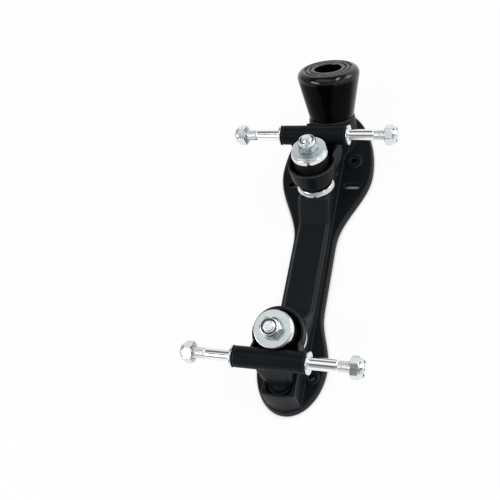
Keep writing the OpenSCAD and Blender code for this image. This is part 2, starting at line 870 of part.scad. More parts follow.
at_rear() kingpin();  // rear_kingpin
at_rear() lower_washer();  // rear_lower_washer
at_rear() lower_bushing();  // rear_lower_bushing
at_rear() hanger();  // rear_hanger
at_rear() upper_bushing();  // rear_upper_bushing
at_rear() upper_washer();  // rear_upper_washer
at_rear() flat_washer();  // rear_flat_washer
at_rear() kingpin_nut();  // rear_kingpin_nut
at_rear() pivot_cup();  // rear_pivot_cup
at_rear() axle();  // rear_axle
at_rear() other_side() speed_washer();  // rear_right_speed_washer
at_rear() speed_washer();  // rear_left_speed_washer
at_rear() other_side() axle_nut();  // rear_right_axle_nut
at_rear() axle_nut();  // rear_left_axle_nut
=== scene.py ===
import math

import bmesh
import bpy
from mathutils import Matrix, Vector


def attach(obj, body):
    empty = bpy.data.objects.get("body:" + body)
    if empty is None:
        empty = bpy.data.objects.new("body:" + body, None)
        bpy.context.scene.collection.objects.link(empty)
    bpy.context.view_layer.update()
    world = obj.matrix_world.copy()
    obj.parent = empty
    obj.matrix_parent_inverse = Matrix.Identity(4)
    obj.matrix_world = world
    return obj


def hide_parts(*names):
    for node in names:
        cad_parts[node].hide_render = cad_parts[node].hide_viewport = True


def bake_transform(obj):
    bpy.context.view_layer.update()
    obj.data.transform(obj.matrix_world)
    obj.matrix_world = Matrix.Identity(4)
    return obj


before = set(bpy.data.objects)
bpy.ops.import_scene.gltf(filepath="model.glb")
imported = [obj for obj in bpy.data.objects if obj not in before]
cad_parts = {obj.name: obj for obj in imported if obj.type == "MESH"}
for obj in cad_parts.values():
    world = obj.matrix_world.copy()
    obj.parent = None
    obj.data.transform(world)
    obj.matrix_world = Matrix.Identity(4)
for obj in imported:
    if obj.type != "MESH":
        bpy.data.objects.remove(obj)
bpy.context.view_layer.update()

mm = 0.001
weld = 0.002 * mm
rearTurn = Matrix.Rotation(math.pi, 4, "Z")
ends = {"front": Matrix.Identity(4), "rear": rearTurn}
print("frame loaded,", len(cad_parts), "nodes")

# Camera

photoView = {
    "place": (0.1443185, -0.2459806, 0.4938216),
    "right": (0.94364, 0.19686, -0.26606),
    "up": (-0.04564, 0.87359, 0.48451),
    "back": (0.32781, -0.44506, 0.83334),
    "lens": 55.92, "sensor": 36, "nearest": 0.02,
}


def placeCamera(view):
    bpy.ops.object.camera_add()
    camera = bpy.context.object
    camera.name = "photoCamera"
    turn = Matrix([Vector(view[side]).normalized() for side in ("right", "up", "back")])
    camera.matrix_world = Matrix.Translation(view["place"]) @ turn.transposed().to_4x4()
    camera.data.sensor_width = view["sensor"]
    camera.data.lens = view["lens"]
    camera.data.clip_start = view["nearest"]
    bpy.context.scene.camera = camera


placeCamera(photoView)
print("camera placed")

# Shader wiring


class Wire:
    # a socket that sums and products can be written with
    def __init__(self, bench, socket):
        self.bench = bench
        self.socket = socket

    def combine(self, operation, *values):
        return self.bench.add("ShaderNodeMath", {"operation": operation}, dict(enumerate(values)))["Value"]

    def size(self):
        return self.combine("ABSOLUTE", self)

    def most(self, other):
        return self.combine("MAXIMUM", self, other)

    def least(self, other):
        return self.combine("MINIMUM", self, other)

    def __add__(self, other):
        return self.combine("ADD", self, other)

    def __radd__(self, other):
        return self.combine("ADD", other, self)

    def __rsub__(self, other):
        return self.combine("SUBTRACT", other, self)

    def __mul__(self, other):
        return self.combine("MULTIPLY", self, other)

    def __rmul__(self, other):
        return self.combine("MULTIPLY", other, self)

    def __pow__(self, other):
        return self.combine("POWER", self, other)


class NodeBench:
    # adds nodes to one tree and joins them up
    def __init__(self, tree):
        self.tree = tree

    def feed(self, socket, value):
        if isinstance(value, Wire):
            self.tree.links.new(value.socket, socket)
        else:
            socket.default_value = value

    def add(self, kind, settings=None, inputs=None):
        node = self.tree.nodes.new(kind)
        for key, value in (settings or {}).items():
            if key == "stops":
                for stop, (place, shade) in zip(node.color_ramp.elements, value):
                    stop.position = place
                    stop.color = shade
            else:
                setattr(node, key, value)
        live = [s for s in node.inputs if s.enabled]
        for key, value in (inputs or {}).items():
            self.feed(live[key] if isinstance(key, int) else next(s for s in live if s.name == key), value)
        return {s.name: Wire(self, s) for s in node.outputs if s.enabled}

    def spot(self):
        return self.add("ShaderNodeTexCoord")["Object"]

    def vector(self, operation, *inputs):
        result = self.add("ShaderNodeVectorMath", {"operation": operation}, dict(enumerate(inputs)))
        return next(iter(result.values()))

    # three scales in place of one stretch the grain along the axes
    def noise(self, where, scale, detail, rough):
        if isinstance(scale, tuple):
            where = self.add("ShaderNodeMapping", None, {"Vector": where, "Scale": scale})["Vector"]
            scale = 1.0
        inputs = {"Vector": where, "Scale": scale, "Detail": detail, "Roughness": rough}
        return self.add("ShaderNodeTexNoise", None, inputs)["Fac"]

    def lineNoise(self, place, scale, detail):
        inputs = {"W": place, "Scale": scale, "Detail": detail}
        return self.add("ShaderNodeTexNoise", {"noise_dimensions": "1D"}, inputs)["Fac"]

    def between(self, amount, low, high):
        stops = {"stops": [(low, (0, 0, 0, 1)), (high, (1, 1, 1, 1))]}
        return self.add("ShaderNodeValToRGB", stops, {0: amount})["Color"]

    def easedBetween(self, amount, low, high):
        inputs = {"Value": amount, "From Min": low, "From Max": high}
        return self.add("ShaderNodeMapRange", {"interpolation_type": "SMOOTHSTEP"}, inputs)["Result"]

    def blendColour(self, amount, first, second):
        first, second = (tone if isinstance(tone, Wire) else (*tone, 1) for tone in (first, second))
        inputs = {"Factor": amount, "A": first, "B": second}
        return self.add("ShaderNodeMix", {"data_type": "RGBA"}, inputs)["Result"]

    def bump(self, height, strength, distance):
        inputs = {"Strength": strength, "Distance": distance, "Height": height}
        return self.add("ShaderNodeBump", None, inputs)["Normal"]


class Paint(NodeBench):
    # one material, with a field of noise for each of its look's grains
    def __init__(self, name, look):
        self.material = bpy.data.materials.new(name)
        self.material.use_nodes = True
        super().__init__(self.material.node_tree)
        self.shader = self.tree.nodes["Principled BSDF"]
        for socket, value in look.get("constant", {}).items():
            self.shader.inputs[socket].default_value = value
        self.look = look
        spot = self.spot()
        self.fields = {field: self.noise(spot, *grain) for field, grain in look["grains"].items()}

    # a base value with a named share of each field added
    def total(self, base, shares):
        for field, share in shares.items():
            base = base + share * self.fields[field]
        return base

    def ground(self):
        field, low, high = self.look["patches"]
        return self.blendColour(self.between(self.fields[field], low, high), *self.look["tones"])

    # the ground colour with its edges made pale, partly as rubbed wear and partly as a painted highlight on
    # the rounded edges
    def wearAndSheenGround(self):
        wearAndSheen = self.add("ShaderNodeAttribute", {"attribute_name": "edgeWearAndSheen"})["Fac"]
        self.fields["wearAndSheen"] = wearAndSheen
        field, base, share = self.look["rubAndSheenBy"]
        rubAndSheenShare = self.between(wearAndSheen * (base + share * self.fields[field]), *self.look["rubAndSheenRange"])
        return self.blendColour(rubAndSheenShare, self.ground(), self.look["rubAndSheen"])

    def finish(self, tone, gloss=None):
        look = self.look
        sockets = {
            "Base Color": tone,
            "Roughness": self.total(look["rough"], look["roughBy"]),
            "Normal": self.bump(self.total(0, look["heightBy"]), *look["bump"]),
        }
        if gloss:
            sockets["Coat Weight"] = gloss
        for name, value in sockets.items():
            self.feed(self.shader.inputs[name], value)
        return self.material


# Where the turned parts stand

tilt = math.radians(13)
kingpinFrame = {"seat": Vector((0, 0.0614, 0.025)), "axis": Vector((0, math.sin(tilt), math.cos(tilt)))}
axleFrame = {"middle": Vector((0, 0.087, 0.052)), "axis": Vector((1, 0, 0))}
stopLean = math.radians(30)
stopFrame = {"base": Vector((0, 0.131, 0.0188)), "axis": Vector((0, math.sin(stopLean), math.cos(stopLean)))}

# Materials, whose grains are (scale, detail, roughness) and bumps (strength, distance)

# Each worn look's pale edge tone is partly rubbed wear and partly a painted highlight along the rounded
# edges
nylonLook = {
    "tones": ((0.0026, 0.0044, 0.0062), (0.0054, 0.0080, 0.0104)), "patches": ("cloud", 0.34, 0.68),
    "grains": {"grain": (2400, 3.0, 0.6), "cloud": (42, 4.0, 0.55), "flow": ((260, 16, 260), 3.0, 0.6)},
    "rubAndSheen": (0.0370, 0.0400, 0.0430), "rubAndSheenBy": ("flow", 0.60, 0.8), "rubAndSheenRange": (0.30, 1.0),
    "rough": 0.38, "roughBy": {"cloud": 0.12, "flow": 0.04, "grain": 0.10, "wearAndSheen": -0.12},
    "heightBy": {"grain": 0.85, "flow": 0.15}, "bump": (0.30, 0.00006),
    "constant": {"Specular IOR Level": 0.17},
}
hangerLook = {
    "tones": ((0.0042, 0.0060, 0.0078), (0.0072, 0.0098, 0.0122)), "patches": ("cloud", 0.35, 0.7),
    "grains": {"peel": (820, 2.0, 0.5), "sand": (260, 5.0, 0.65), "cloud": (70, 3.0, 0.5)},
    "rubAndSheen": (0.050, 0.053, 0.056), "rubAndSheenBy": ("sand", 0.55, 0.9), "rubAndSheenRange": (0.25, 0.95),
    "rough": 0.34, "roughBy": {"cloud": 0.12, "sand": 0.10, "wearAndSheen": -0.10},
    "heightBy": {"peel": 0.45, "sand": 0.55}, "bump": (0.35, 0.00008),
    "constant": {"Specular IOR Level": 0.03, "Coat Weight": 0.12, "Coat Roughness": 0.22},
}


def wearAndSheenMaterial(name, look):
    paint = Paint(name, look)
    return paint.finish(paint.wearAndSheenGround())


rubberLook = {
    "tones": ((0.0042, 0.0042, 0.0045), (0.0150, 0.0150, 0.0156)), "patches": ("bloom", 0.46, 0.86),
    "grains": {"grain": (3200, 2.0, 0.5), "bloom": (150, 5.0, 0.65), "ridges": ((60, 60, 900), 2.0, 0.5)},
    "rough": 0.50, "roughBy": {"bloom": 0.16, "grain": 0.06},
    "heightBy": {"grain": 0.6, "ridges": 0.4}, "bump": (0.35, 0.00007),
    "constant": {"Specular IOR Level": 0.16},
}
lockRingLook = {
    "tones": ((0.020, 0.024, 0.030), (0.045, 0.052, 0.062)), "patches": ("cloud", 0.0, 1.0),
    "grains": {"grain": (1800, 3.0, 0.6), "cloud": (400, 2.0, 0.5)},
    "rough": 0.38, "roughBy": {"grain": 0.12}, "heightBy": {"grain": 1.0}, "bump": (0.2, 0.00004),
}
chromeLook = {
    "tones": ((0.93, 0.935, 0.945), (0.84, 0.85, 0.865)), "patches": ("smudge", 0.45, 0.85),
    "grains": {"smudge": (170, 5.0, 0.62), "marks": ((5200, 40, 40), 3.0, 0.6)},
    "rough": 0.07, "roughBy": {"smudge": 0.08, "marks": 0.04},
    "heightBy": {"marks": 1.0}, "bump": (0.02, 0.0000005),
    "constant": {"Metallic": 1.0},
}
threadLook = {
    **chromeLook, "tones": ((0.88, 0.895, 0.91), (0.74, 0.765, 0.79)), "rough": 0.24,
    "grains": {"smudge": (170, 5.0, 0.62), "marks": ((900, 900, 900), 3.0, 0.6)},
}
upperCupLook = {
    **chromeLook, "tones": ((0.80, 0.81, 0.83), (0.66, 0.68, 0.70)), "rough": 0.09,
    "grains": {"smudge": (170, 5.0, 0.62), "marks": ((60, 60, 2600), 3.0, 0.6)},
}
# The lower washers take a darker copy of the cup chrome, as painted shade under the bowl
shadedLowerCupLook = {**upperCupLook, "tones": ((0.66, 0.67, 0.69), (0.53, 0.55, 0.575))}


def plainMaterial(name, look):
    paint = Paint(name, look)
    return paint.finish(paint.ground())


stopGrain = {
    "patches": ("smear", 0.40, 0.75),
    "grains": {"smear": ((90, 90, 30), 5.0, 0.6), "speck": (1500, 2.0, 0.5), "ripple": (120, 2.0, 0.4)},
    "roughBy": {"smear": 0.10, "speck": 0.03},
    "heightBy": {"speck": 0.2, "ripple": 0.8}, "bump": (0.10, 0.00006),
}
# A paler copy of the stop rubber for the ring tops on its face, a painted highlight along the ridges
ridgeHighlightLook = {
    **stopGrain, "tones": ((0.0420, 0.0420, 0.0430), (0.1100, 0.1100, 0.1130)), "rough": 0.26,
    "constant": {"Specular IOR Level": 0.30},
}
stopLook = {
    **stopGrain, "tones": ((0.0014, 0.0014, 0.0016), (0.0026, 0.0026, 0.0028)), "rough": 0.10,
    "rim": (0.0305, 0.0350), "rimCoat": 0.85, "flank": (0.82, 0.97), "flankCoat": 0.5,
    "constant": {"Specular IOR Level": 0.035, "Coat Roughness": 0.12},
}


# Glossier on the rim, by height along the stop's axis, and on the flanks
def stopMaterial(name, look):
    paint = Paint(name, look)
    offset = paint.vector("SUBTRACT", paint.spot(), stopFrame["base"])
    rise = paint.easedBetween(paint.vector("DOT_PRODUCT", offset, stopFrame["axis"]), *look["rim"])
    facing = paint.add("ShaderNodeTexCoord")["Normal"]
    sideways = paint.add("ShaderNodeSeparateXYZ", None, {0: facing})["X"]
    flank = paint.easedBetween(sideways.size(), *look["flank"])
    gloss = look["rimCoat"] * rise + look["flankCoat"] * flank * (1 - rise)
    return paint.finish(paint.ground(), gloss)


zincLook = {
    "tones": ((0.60, 0.665, 0.69), (0.73, 0.775, 0.79)), "patches": ("spangle", 0.30, 0.72),
    "stain": (0.46, 0.53, 0.56), "stainRange": (0.58, 0.82), "stainShare": 0.5,
    "grains": {"spangle": (480, 4.0, 0.6), "cloud": (130, 3.0, 0.55)}, "rings": (5200, 2.0),
    "rough": 0.17, "roughBy": {"spangle": 0.10, "rings": 0.10, "cloud": 0.06},
    "heightBy": {"rings": 0.7, "spangle": 0.3}, "bump": (0.04, 0.000006),
    "constant": {"Metallic": 1.0},
}
nutLook = {
    **zincLook, "rough": 0.10,
    "tones": ((0.75, 0.785, 0.81), (0.87, 0.89, 0.90)), "stain": (0.60, 0.645, 0.68),
}
hexLook = {
    **zincLook, "rough": 0.12,
    "tones": ((0.70, 0.74, 0.77), (0.83, 0.855, 0.87)), "stain": (0.53, 0.58, 0.62),
}
darkHexLook = {
    **zincLook, "rough": 0.13,
    "tones": ((0.35, 0.40, 0.41), (0.50, 0.55, 0.56)), "stain": (0.29, 0.34, 0.35),
}


# Lathe marks run in rings round the line through centre along axis
def zincMaterial(name, look, centre, axis):
    paint = Paint(name, look)
    offset = paint.vector("SUBTRACT", paint.spot(), centre)
    onAxis = paint.vector("SCALE", axis, paint.vector("DOT_PRODUCT", offset, axis))
    paint.fields["rings"] = paint.lineNoise(paint.vector("DISTANCE", offset, onAxis), *look["rings"])
    stained = look["stainShare"] * paint.between(paint.fields["cloud"], *look["stainRange"])
    return paint.finish(paint.blendColour(stained, paint.ground(), look["stain"]))


nylon = wearAndSheenMaterial("mouldedNylon", nylonLook)
hangerPaint = wearAndSheenMaterial("satinHangerPaint", hangerLook)
bushingRubber = plainMaterial("bushingRubber", rubberLook)
stopRubber = stopMaterial("glossyStopRubber", stopLook)
stopRidgeHighlight = plainMaterial("highlightedStopRidge", ridgeHighlightLook)
lockNylon = plainMaterial("lockRingNylon", lockRingLook)
axleChrome = plainMaterial("axleSteel", chromeLook)
threadSteel = plainMaterial("rolledThread", threadLook)
upperChrome = plainMaterial("cupWasherChrome", upperCupLook)
shadedLowerChrome = plainMaterial("shadedLowerWasherChrome", shadedLowerCupLook)
kingpinLine = (kingpinFrame["seat"], kingpinFrame["axis"])
axleLine = (axleFrame["middle"], axleFrame["axis"])
zincLines = {
    "Kingpin": (zincLook, kingpinLine), "Nut": (nutLook, kingpinLine), "Hex": (darkHexLook, kingpinLine),
    "Axle": (nutLook, axleLine), "AxleHex": (hexLook, axleLine),
}
zincAt = {"stop": zincMaterial("zincStopBolt", zincLook, stopFrame["base"], stopFrame["axis"])}
for part, (look, line) in zincLines.items():
    for end, turn in ends.items():
        centre, axis = (turn @ point for point in line)
        zincAt[end + part] = zincMaterial("zinc" + end.capitalize() + part, look, centre, axis)
print("materials made,", len(bpy.data.materials))

# Modelling helpers


def clearPick():
    if bpy.context.mode != "OBJECT":
        bpy.ops.object.mode_set(mode="OBJECT")
    bpy.ops.object.select_all(action="DESELECT")


def pickOnly(piece):
    clearPick()
    piece.select_set(True)
    bpy.context.view_layer.objects.active = piece


def pickEdges(piece, wanted):
    cage = bmesh.from_edit_mesh(piece.data)
    for part in (*cage.faces, *cage.edges, *cage.verts):
        part.select_set(False)
    for edge in cage.edges:
        if wanted(edge):
            edge.select_set(True)
    bmesh.update_edit_mesh(piece.data)


def applyAll(piece):
    pickOnly(piece)
    for step in list(piece.modifiers):
        bpy.ops.object.modifier_apply(modifier=step.name)


def shadeByAngle(piece, degrees=36):
    pickOnly(piece)
    bpy.ops.object.shade_smooth_by_angle(angle=math.radians(degrees))


def movedTo(piece, place):
    pickOnly(piece)
    piece.matrix_world = place @ piece.matrix_world
    bpy.ops.object.transform_apply(location=True, rotation=True, scale=True)
    return piece


def copyOf(piece, name, place):
    pickOnly(piece)
    bpy.ops.object.duplicate(linked=False)
    twin = bpy.context.object
    twin.name = name
    twin.data.name = name
    return movedTo(twin, place)


def joinAll(name, parts):
    clearPick()
    for part in parts:
        part.select_set(True)
    bpy.context.view_layer.objects.active = parts[0]
    bpy.ops.object.join()
    whole = bpy.context.object
    whole.name = name
    whole.data.name = name
    return whole


def coat(piece, *materials):
    held = piece.data.materials
    while len(held) < len(materials):
        held.append(None)
    for k, material in enumerate(materials):
        held[k] = material


# Corners are (radius, height, softening), all in mm
def softened(corners, closed, perCorner=4, mostOfSide=0.49):
    line = []
    last = len(corners) - 1
    for i, (r, z, soft) in enumerate(corners):
        here = Vector((r, z))
        if soft <= 0 or (not closed and i in (0, last)):
            line.append(here)
            continue
        before = Vector(corners[i - 1][:2]) - here
        after = Vector(corners[(i + 1) % len(corners)][:2]) - here
        reach = soft / math.tan(before.angle(after) / 2)
        reach = min(reach, mostOfSide * before.length, mostOfSide * after.length)
        start = here + before.normalized() * reach
        end = here + after.normalized() * reach
        for k in range(perCorner + 1):
            t = k / perCorner
            line.append(start * (1 - t) ** 2 + here * 2 * t * (1 - t) + end * t ** 2)
    return line + line[:1] if closed else line


# One vertex is drawn out along a line of (radius, height) points
def drawnLine(name, line):
    clearPick()
    bpy.ops.mesh.primitive_plane_add(size=1 * mm)
    piece = bpy.context.object
    piece.name = name
    bpy.ops.object.mode_set(mode="EDIT")
    bpy.ops.mesh.select_all(action="SELECT")
    bpy.ops.mesh.merge(type="CENTER")
    bpy.ops.transform.translate(value=(line[0][0] * mm, 0, line[0][1] * mm))
    for here, there in zip(line, line[1:]):
        step = ((there[0] - here[0]) * mm, 0, (there[1] - here[1]) * mm)
        bpy.ops.mesh.extrude_vertices_move(TRANSFORM_OT_translate={"value": step})
    return piece


def closeSkin():
    bpy.ops.mesh.select_all(action="SELECT")
    bpy.ops.mesh.remove_doubles(threshold=weld)
    bpy.ops.mesh.normals_make_consistent(inside=False)
    bpy.ops.object.mode_set(mode="OBJECT")


def turnedPiece(name, corners, closed=True, steps=96, perCorner=4):
    piece = drawnLine(name, softened(corners, closed, perCorner))
    bpy.ops.mesh.select_all(action="SELECT")
    bpy.ops.mesh.spin(steps=steps, angle=math.tau, center=(0, 0, 0), axis=(0, 0, 1))
    closeSkin()
    shadeByAngle(piece)
    return piece


# Heights are shares of the pitch; sink is in mm and fade in turns
threadForm = {"root": 0.08, "crest": (0.42, 0.58), "sink": 0.08, "fade": 0.1, "steps": 32, "smooth": 50}


# A helix of thread, run out into the core at both ends
def threadSkin(name, radius, depth, pitch, low, high, form=threadForm):
    turns = max(2, int((high - low) / pitch))
    root = radius - depth
    radii = (root, root, radius, radius, root, root)
    heights = (0, form["root"], *form["crest"], 1 - form["root"], 1)
    piece = drawnLine(name, [(r, z * pitch) for r, z in zip(radii, heights)])
    bpy.ops.object.mode_set(mode="OBJECT")
    helix = piece.modifiers.new("helix", "SCREW")
    helix.axis = "Z"
    helix.angle = math.tau
    helix.screw_offset = pitch * mm
    helix.iterations = turns
    helix.steps = form["steps"]
    helix.render_steps = form["steps"]
    helix.use_normal_calculate = True
    applyAll(piece)
    turn = pitch * mm
    top = (turns + 1) * turn
    sunk = (root - form["sink"]) * mm
    for corner in piece.data.vertices:
        run = max(0, min(1, corner.co.z / turn - form["fade"], (top - corner.co.z) / turn - form["fade"]))
        out = math.hypot(corner.co.x, corner.co.y)
        share = (sunk + (out - sunk) * run) / out
        corner.co.x *= share
        corner.co.y *= share
    bpy.ops.object.mode_set(mode="EDIT")
    closeSkin()
    squeeze = (high - low) * mm / top
    movedTo(piece, Matrix.Translation((0, 0, low * mm)) @ Matrix.Diagonal((1, 1, squeeze, 1)))
    shadeByAngle(piece, form["smooth"])
    return piece


hexForm = {
    "edge": 0.3, "segments": 3, "spare": 1.0, "margin": 0.3, "face": 0.475, "chamfer": 28, "faceSoft": 0.1,
    "lead": 0.6, "countersink": 0.5, "tooth": 0.35, "steps": 72, "smooth": 24,
}


# A hex with both its faces turned down, bored where bore is above zero
def hexPiece(name, flats, low, high, bore=0.0, pitch=1.0, form=hexForm):
    corner = flats / math.sqrt(3)
    clearPick()
    bpy.ops.mesh.primitive_cylinder_add(
        vertices=6, radius=corner * mm, depth=(high - low + form["spare"]) * mm,
        location=(0, 0, (low + high) / 2 * mm), rotation=(0, 0, math.pi / 6))
    piece = bpy.context.object
    piece.name = name
    bpy.ops.object.transform_apply(location=True, rotation=True, scale=True)
    bpy.ops.object.mode_set(mode="EDIT")
    bpy.ops.mesh.select_mode(type="EDGE")
    pickEdges(piece, lambda e: abs(e.verts[0].co.z - e.verts[1].co.z) > 1 * mm)
    bpy.ops.mesh.bevel(offset=form["edge"] * mm, segments=form["segments"], affect="EDGES")
    bpy.ops.mesh.select_mode(type="VERT")
    bpy.ops.object.mode_set(mode="OBJECT")
    outer = corner + form["margin"]
    face = form["face"] * flats
    drop = (outer - face) * math.tan(math.radians(form["chamfer"]))
    soft = form["faceSoft"]
    rim = [(face, low, soft), (outer, low + drop, 0), (outer, high - drop, 0), (face, high, soft)]
    if bore > 0:
        mouth = bore + form["countersink"]
        teeth = []
        for k in range(int((high - low - 2 * form["lead"]) / pitch)):
            z = high - form["lead"] - k * pitch
            teeth += [(bore, z, 0), (bore + form["tooth"] * pitch, z - 0.5 * pitch, 0)]
        corners = [*rim, (mouth, high, 0), *teeth, (mouth, low, 0)]
        cut = turnedPiece("hexTurning", corners, True, form["steps"], 2)
    else:
        cut = turnedPiece("hexTurning", [(0, low, 0), *rim, (0, high, 0)], False, form["steps"], 2)
    trim = piece.modifiers.new("turnedFaces", "BOOLEAN")
    trim.operation = "INTERSECT"
    trim.solver = "EXACT"
    trim.object = cut
    applyAll(piece)
    bpy.data.objects.remove(cut)
    shadeByAngle(piece, form["smooth"])
    return piece


# The solid's own mesh with its loose triangles merged into faces
def mergedCopy(name, node, flat=0.5):
    piece = bpy.data.objects.new(name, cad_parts[node].data.copy())
    piece.data.name = name
    bpy.context.scene.collection.objects.link(piece)
    pickOnly(piece)
    bpy.ops.object.mode_set(mode="EDIT")
    bpy.ops.mesh.select_all(action="SELECT")
    bpy.ops.mesh.remove_doubles(threshold=weld)
    bpy.ops.mesh.dissolve_limited(angle_limit=math.radians(flat))
    bpy.ops.object.mode_set(mode="OBJECT")
    return piece


# How sharply the surface turns outwards at each point, kept for the paint's edge wear and painted edge
# highlight
def markEdges(piece, full, passes=2):
    cage = bmesh.new()
    cage.from_mesh(piece.data)
    turn = [max((e.calc_face_angle_signed(0) for e in v.link_edges), default=0) for v in cage.verts]
    near = [[e.other_vert(v).index for e in v.link_edges] for v in cage.verts]
    cage.free()
    for k in range(passes):
        around = [sum(turn[i] for i in others) / len(others) for others in near]
        turn = [0.5 * own + 0.5 * other for own, other in zip(turn, around)]
    wearAndSheen = piece.data.attributes.new("edgeWearAndSheen", "FLOAT", "POINT")
    wearAndSheen.data.foreach_set("value", [max(0.0, min(1.0, t / math.radians(full))) for t in turn])


# The solid's shape with all its edges rounded a little, as a mould leaves them
def mouldedCopy(name, node, mould):
    piece = mergedCopy(name, node)
    grid = piece.modifiers.new("mouldGrid", "REMESH")
    grid.mode = "VOXEL"
    grid.voxel_size = mould["voxel"] * mm
    ease = piece.modifiers.new("mouldRadius", "SMOOTH")
    ease.factor = 0.5
    ease.iterations = mould["smooth"]
    thin = piece.modifiers.new("thinFlats", "DECIMATE")
    thin.ratio = mould["keep"]
    applyAll(piece)
    markEdges(piece, mould["wearAndSheenAngle"])
    shadeByAngle(piece, mould["shadeAngle"])
    return piece


def settle(piece, body, nodes):
    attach(piece, body)
    if nodes:
        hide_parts(*nodes)
    return piece


kingpinPlace = Matrix.Translation(kingpinFrame["seat"]) @ Matrix.Rotation(-tilt, 4, "X")
stopPlace = Matrix.Translation(stopFrame["base"]) @ Matrix.Rotation(-stopLean, 4, "X")


def axlePlace(side):
    return Matrix.Translation(axleFrame["middle"]) @ Matrix.Rotation(side * math.pi / 2, 4, "Y")


# Plate

plateMould = {"voxel": 0.32, "smooth": 7, "keep": 0.17, "wearAndSheenAngle": 26, "shadeAngle": 60}


def makePlate(mould):
    plate = mouldedCopy("plateMoulding", "base_plate", mould)
    coat(plate, nylon)
    return settle(plate, "plate", ["base_plate"])


plate = makePlate(plateMould)
print("plate made,", len(plate.data.polygons), "faces")

# Hangers

hangerCast = {"voxel": 0.34, "smooth": 8, "keep": 0.5, "wearAndSheenAngle": 26, "shadeAngle": 60}


def makeHanger(cast):
    hanger = mouldedCopy("frontHangerCasting", "front_hanger", cast)
    coat(hanger, hangerPaint)
    return hanger


frontHanger = makeHanger(hangerCast)
rearHanger = copyOf(frontHanger, "rearHangerCasting", rearTurn)
settle(frontHanger, "front_truck", ["front_hanger"])
settle(rearHanger, "rear_truck", ["rear_hanger"])
print("hangers made,", len(frontHanger.data.polygons), "faces each")

# Toe stop

stopShape = {
    "height": 38.4, "baseRadius": 17.4, "foot": (0.4, 0.9), "radius": 23.8, "round": 5.0, "lean": 12,
    "recess": 10.4, "floor": 12.0, "bore": 4.15, "arcSteps": 12, "steps": 160,
    "grooves": (17.4, 13.9), "grooveHalf": 0.8, "grooveFloor": 0.48, "grooveDepth": 1.4,
    "ridge": 0.5, "ridgeDepth": 0.35,
}


def makeToeStop(shape):
    top, bend, bore, floor = shape["height"], shape["round"], shape["bore"], shape["floor"]
    inset, rise = shape["foot"]
    corners = [(bore, 0, 0), (shape["baseRadius"] - inset, 0, 0.5), (shape["baseRadius"], rise, 0.8)]
    low = math.radians(-shape["lean"])
    for k in range(shape["arcSteps"] + 1):
        a = low + (math.pi / 2 - low) * k / shape["arcSteps"]
        corners.append((shape["radius"] - bend + bend * math.cos(a), top - bend + bend * math.sin(a), 0))
    half, bed, deep = shape["grooveHalf"], shape["grooveFloor"], top - shape["grooveDepth"]
    for ring in shape["grooves"]:
        corners += [(ring + half, top, 0.45), (ring + bed, deep, 0.3),
                    (ring - bed, deep, 0.3), (ring - half, top, 0.45)]
    corners += [(shape["recess"], top, 0.8), (shape["recess"], floor, 0.6), (bore, floor, 0)]
    stop = turnedPiece("toeStopRubber", corners, True, shape["steps"])
    coat(stop, stopRubber, stopRidgeHighlight)
    # The face's ring tops and the face inside them take the paler ridge material as a painted highlight
    ringEdge = max(shape["grooves"]) + half + shape["ridge"]
    for face in stop.data.polygons:
        out = math.hypot(face.center.x, face.center.y)
        if face.center.z > (top - shape["ridgeDepth"]) * mm and out < ringEdge * mm:
            face.material_index = 1
    movedTo(stop, stopPlace)
    return settle(stop, "plate", ["toe_stop"])


makeToeStop(stopShape)
print("toe stop made")

# Bushings, which stay straight where their washers hold them

bushingShape = {
    "radius": {"lower": 11.5, "upper": 12.0}, "bulge": 0.4, "bulgeSteps": 10, "bore": 4.15, "edge": 0.9,
    "lower": (1.5, 12.0), "upper": (16.0, 33.0), "held": {"lower": (2.3, 0.0), "upper": (0.0, 2.6)},
}


def makeBushing(name, shape, kind):
    low, high = shape[kind]
    radius = shape["radius"][kind]
    first, last = shape["held"][kind]
    free = high - last - low - first
    corners = [(shape["bore"], low, 0.3), (radius, low, shape["edge"])]
    for k in range(shape["bulgeSteps"] + 1):
        t = k / shape["bulgeSteps"]
        z = low + first + free * t
        if low < z < high:
            corners.append((radius + shape["bulge"] * math.sin(math.pi * t), z, 0))
    corners += [(radius, high, shape["edge"]), (shape["bore"], high, 0.3)]
    piece = turnedPiece(name, corners)
    movedTo(piece, kingpinPlace)
    coat(piece, bushingRubber)
    return piece


def bendBushing(piece, end, kind):
    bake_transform(piece)
    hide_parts(end + "_" + kind + "_bushing")


for kind in ("lower", "upper"):
    frontBushing = makeBushing("front_" + kind + "BushingRubber", bushingShape, kind)
    rearBushing = copyOf(frontBushing, "rear_" + kind + "BushingRubber", rearTurn)
    bendBushing(frontBushing, "front", kind)
    bendBushing(rearBushing, "rear", kind)
print("bushings made")

# Washers on the kingpins, and a cup's wall as (in from the rim, height, softening)

lowerWasher = {
    "radius": 14.0, "inner": 12.125, "sheet": 1.5, "bore": 4.15, "lip": 3.8, "steps": 112,
    "wall": [(0.3, 0, 0.4), (0, 0.7, 0.4), (0.3, 1.8, 0.9), (1.1, 3.6, 0.6), (1.5, 4.0, 0.25)],
}
upperWasher = {
    "radius": 13.1, "top": 12.8, "inner": 12.02, "low": 33.0, "sheet": 1.2, "lip": 2.4,
    "bore": 4.15, "steps": 112,
}
flatWasher = {"radius": 12.4, "low": 34.2, "sheet": 2.0, "bore": 4.15, "chamfer": (0.45, 0.55), "steps": 112}


def makeLowerWasher(shape):
    bore, inner, sheet = shape["bore"], shape["inner"], shape["sheet"]
    wall = [(shape["radius"] - inset, z, soft) for inset, z, soft in shape["wall"]]
    corners = [(bore, 0, 0.1), *wall, (inner, shape["lip"], 0.15), (inner, sheet, 0.3), (bore, sheet, 0.1)]
    return turnedPiece("frontLowerCupWasher", corners, True, shape["steps"])


